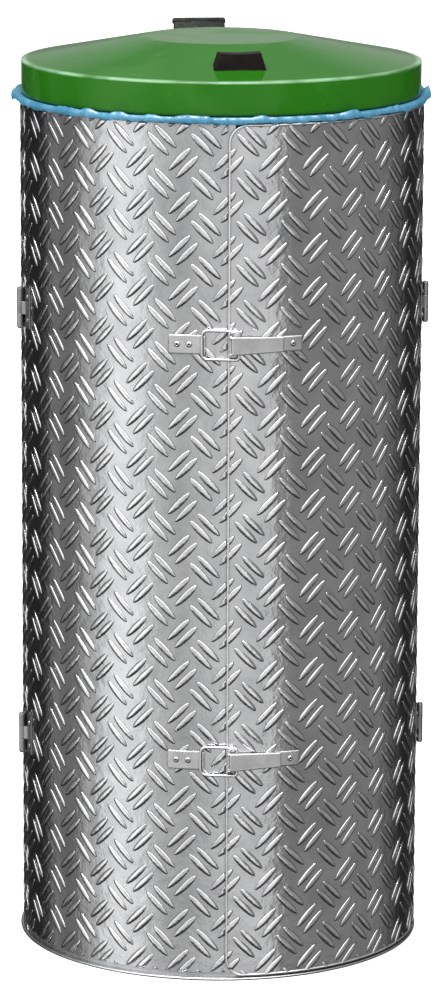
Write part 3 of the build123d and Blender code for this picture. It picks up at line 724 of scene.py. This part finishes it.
def sackSection(azimuth):
    turn = radians(azimuth)
    c, s = cos(turn), sin(turn)
    coarse = noiseAt(3.2 * c, 3.2 * s, 0, 1)
    middle = noiseAt(9 * c, 9 * s, 0, 2)
    fine = noiseAt(26 * c, 26 * s, 0, 3)
    ear = bumpAt(azimuth, *film["ear"])
    loop = bumpAt(azimuth, *film["loop"])
    tuck = abs(noiseAt(15 * c, 15 * s, 0, 9)) * 2
    bulge = (film["bulge"] - 0.001 + 0.003 * coarse + 0.0026 * middle + 0.0026 * tuck + 0.0016 * fine
             + 0.0035 * ear + 0.003 * loop)
    bulge = max(film["leastBulge"], bulge)
    lift = 0.0008 + 0.0062 * max(0.0, middle + 0.4 * coarse + 0.3 * fine) + 0.001 * ear + 0.006 * loop
    sag = 0.0042 * max(0.0, 0.5 * fine - middle) + 0.0035 * ear
    wall, bottom, bend = film["wallRadius"], film["bottom"], film["bend"]
    crest = film["crest"]
    rows = []
    # gathered bottom and hanging wall
    for share in (0.0, 0.12, 0.3, 0.5, 0.7, 0.85):
        fold = 0.006 * noiseAt(5 * c, 5 * s, share * 2, 4) * share
        gather = 0.012 * share * abs(noiseAt(14 * c, 14 * s, share, 5))
        rows.append(((wall - film["bendHeight"]) * share, bottom + film["bottomRise"] + fold + gather))
    for share in (0.0, 0.25, 0.5, 0.75, 1.0):
        angle = share * pi / 2
        inward = 0.004 * abs(noiseAt(7 * c, 7 * s, 1, 6))
        rows.append((wall - bend + bend * sin(angle) - inward,
                     bottom + film["bendHeight"] - bend * cos(angle)))
    for step in range(1, film["wallSteps"] + 1):
        share = step / film["wallSteps"]
        height = bottom + film["bendHeight"] + share * (film["wallTop"] - bottom - film["bendHeight"])
        slack = sin(pi * min(1.0, share * 1.02)) ** 0.5
        wide = 0.0045 * abs(noiseAt(6 * c, 6 * s, 1.6 * share, 7))
        narrow = 0.002 * abs(noiseAt(17 * c, 17 * s, 2 * share, 8))
        rows.append((wall - slack * (wide + narrow), height))
    # over the bead, out under the lid and back to the groove
    control = [
        (wall, 0.936), (wall, 0.9436), (0.2122, 0.9467), (0.2144, crest), (0.2172, 0.9474),
        (0.2208, 0.9476 + 0.35 * lift), (bulge - 0.0028, 0.9474 + lift),
        (bulge - 0.0005, 0.9462 + 0.4 * lift),
        (bulge, 0.9445 - 0.3 * sag), (bulge - 0.0012, 0.9425 - sag),
        (bulge - 0.0034, film["under"] - 0.4 * sag + 0.0002),
        (0.2205, film["under"]), (0.2165, 0.9416), (0.2142, 0.9404), (film["clampRadius"], 0.9385),
        (film["clampRadius"], film["clampHeight"]),
    ]
    return rows + control


def makeSack():
    columns = [sackSection(360 * i / film["around"]) for i in range(film["around"])]
    per = len(columns[0]) - 1
    points = [onWall(360 * i / film["around"], r, z) for i, rows in enumerate(columns) for r, z in rows[1:]]
    points.append(Vector((0, 0, film["bottom"] + film["bottomRise"])))
    faces = []
    for i in range(film["around"]):
        a, b = i * per, (i + 1) % film["around"] * per
        faces.append((len(points) - 1, a, b))
        for k in range(per - 1):
            faces.append((a + k, a + k + 1, b + k + 1, b + k))
    made = linked("foldedSack", meshOf("foldedSack", points, faces, "sackFilm"))
    skin = made.modifiers.new("film", "SOLIDIFY")
    skin.thickness = film["thickness"]
    skin.offset = 0
    return made


sackPiece = makeSack()
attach(sackPiece, "body")
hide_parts("sack")
print("sack folded")


# floor, light and camera

studio = {
    "eye": -6.5,                # azimuth of the camera
    "distance": 5.088,
    "height": 1.576,
    "pitch": 12.05,
    "roll": -0.25,
    "lens": 167.5,
    "sensor": 36,
    "shift": -0.0013,
    "overhead": 3.6,
    "below": 0.04,
    "wall": 0.22,
    "ceilingFrom": (0.38, 0.52),        # rise of a ray at which the ceiling begins and is full
    "groundFrom": (-0.35, -0.55),
    "wallFrom": (0.03, 0.1),
    "wallUntil": (0.4, 0.3),
    "floorSide": 14.0,
    "floorGlow": 0.45,
}
lamps = {
    "overheadBox": {"azimuth": 0, "distance": 0.15, "height": 2.5, "wide": 0.6, "tall": 0.6, "power": 12},
    # the thin white line along the lid's shoulder
    "shineBox": {"azimuth": -15, "distance": 0.2, "height": 2.4, "wide": 0.7, "tall": 0.36, "power": 60,
                 "diffuse": False},
}
lampAim = 1.0
# glow of the surroundings by azimuth from the camera
glow = (
    (-180, 0.25), (-168, 0.16), (-160, 0.03), (-128, 0.02), (-119, 0.06), (-112, 0.3), (-106, 0.2),
    (-90, 0.21), (-86, 0.5), (-76, 0.62), (-70, 1.1), (-57, 1.32), (-45, 1.12), (-40, 0.76), (-20, 0.58),
    (0, 0.82), (14, 0.86), (31.5, 0.86), (34, 0.29), (80, 0.29), (104, 0.26), (116, 0.16), (124, 0.1),
    (132, 0.02), (160, 0.04), (168, 0.25),
)
overheadGlow = ((-180, 0.12), (-105, 0.1), (-75, 1.0), (45, 1.0), (75, 0.15), (180, 0.12))
backGlow = ((-180, 1.0), (-130, 0.0), (130, 0.0), (180, 1.0))       # a low wall behind the object


brightest = 2.0                 # a ramp's own colours end at 1


def rampOf(tree, share, stops):
    ramp = addNode(tree, "ShaderNodeValToRGB", {"Fac": share})
    points = ramp.color_ramp.elements
    for index, (azimuth, level) in enumerate(stops):
        place = (azimuth + 180) / 360
        point = points[index] if index < 2 else points.new(place)
        point.position = place
        point.color = (level / brightest,) * 3 + (1,)
    return sums(tree, "MULTIPLY", ramp.outputs["Color"], brightest)


def makeWorld():
    world = bpy.data.worlds.new("studio")
    bpy.context.scene.world = world
    world.use_nodes = True
    tree = world.node_tree
    tree.nodes.clear()
    way = addNode(tree, "ShaderNodeTexCoord").outputs["Generated"]
    parts = addNode(tree, "ShaderNodeSeparateXYZ", {0: way})
    turn = sums(tree, "ARCTAN2", parts.outputs["X"], sums(tree, "MULTIPLY", parts.outputs["Y"], -1.0))
    share = sums(tree, "ADD", sums(tree, "DIVIDE", turn, 2 * pi), 0.5 - studio["eye"] / 360)
    share = sums(tree, "FRACT", share)
    level = rampOf(tree, share, glow)
    rise = parts.outputs["Z"]
    high = between(tree, rise, *studio["ceilingFrom"])
    low = between(tree, rise, *studio["groundFrom"])
    behind = rampOf(tree, share, backGlow)
    fromFoot = between(tree, rise, *studio["wallFrom"])
    untilHead = between(tree, rise, *studio["wallUntil"])
    band = sums(tree, "MULTIPLY", fromFoot, untilHead)
    backWall = sums(tree, "MULTIPLY", sums(tree, "MULTIPLY", behind, band), studio["wall"])
    level = sums(tree, "ADD", level, backWall)
    lit = sums(tree, "MULTIPLY", rampOf(tree, share, overheadGlow), studio["overhead"])
    top = sums(tree, "ADD", sums(tree, "MULTIPLY", high, lit),
               sums(tree, "MULTIPLY", level, sums(tree, "SUBTRACT", 1.0, high)))
    whole = sums(tree, "ADD", sums(tree, "MULTIPLY", low, studio["below"]),
                 sums(tree, "MULTIPLY", top, sums(tree, "SUBTRACT", 1.0, low)))
    seen = addNode(tree, "ShaderNodeLightPath").outputs["Is Camera Ray"]
    light = addNode(tree, "ShaderNodeBackground", {"Color": whole, "Strength": 1.0})
    white = addNode(tree, "ShaderNodeBackground", {"Color": (1, 1, 1, 1), "Strength": 1.0})
    mix = addNode(tree, "ShaderNodeMixShader", {0: seen, 1: light.outputs[0], 2: white.outputs[0]})
    out = addNode(tree, "ShaderNodeOutputWorld")
    tree.links.new(mix.outputs[0], out.inputs[0])


def makeFloor():
    mesh = bpy.data.meshes.new("floor")
    side = studio["floorSide"]
    corners = [(-side, -side, 0), (side, -side, 0), (side, side, 0), (-side, side, 0)]
    mesh.from_pydata(corners, [], [(0, 1, 2, 3)])
    floor = linked("floor", mesh)
    material = bpy.data.materials.new("paleFloor")
    material.use_nodes = True
    tree = material.node_tree
    shader = tree.nodes["Principled BSDF"]
    shader.inputs["Base Color"].default_value = (0.85, 0.85, 0.85, 1)
    shader.inputs["Roughness"].default_value = 0.9
    shader.inputs["Emission Color"].default_value = (1, 1, 1, 1)
    seen = addNode(tree, "ShaderNodeLightPath").outputs["Is Camera Ray"]
    tree.links.new(sums(tree, "MULTIPLY", seen, studio["floorGlow"]), shader.inputs["Emission Strength"])
    mesh.materials.append(material)
    floor.visible_glossy = False


def makeLamp(name, azimuth, distance, height, wide, tall, power, diffuse=True):
    lamp = bpy.data.lights.new(name, "AREA")
    lamp.shape = "RECTANGLE"
    lamp.size, lamp.size_y = wide, tall
    lamp.energy = power
    made = linked(name, lamp)
    made.location = onWall(studio["eye"] + azimuth, distance, height)
    made.rotation_euler = (Vector((0, 0, lampAim)) - made.location).to_track_quat("-Z", "Y").to_euler()
    made.visible_camera = False
    made.visible_diffuse = diffuse


def makeCamera():
    camera = bpy.data.cameras.new("camera")
    camera.lens = studio["lens"]
    camera.sensor_width = studio["sensor"]
    camera.shift_x = studio["shift"]
    made = linked("camera", camera)
    made.location = onWall(studio["eye"], studio["distance"], studio["height"])
    made.rotation_euler = (radians(90 - studio["pitch"]), radians(studio["roll"]), radians(studio["eye"]))
    bpy.context.scene.camera = made


makeWorld()
makeFloor()
for name, values in lamps.items():
    makeLamp(name, **values)
makeCamera()
bpy.context.scene.view_settings.view_transform = "Standard"
print("studio set")
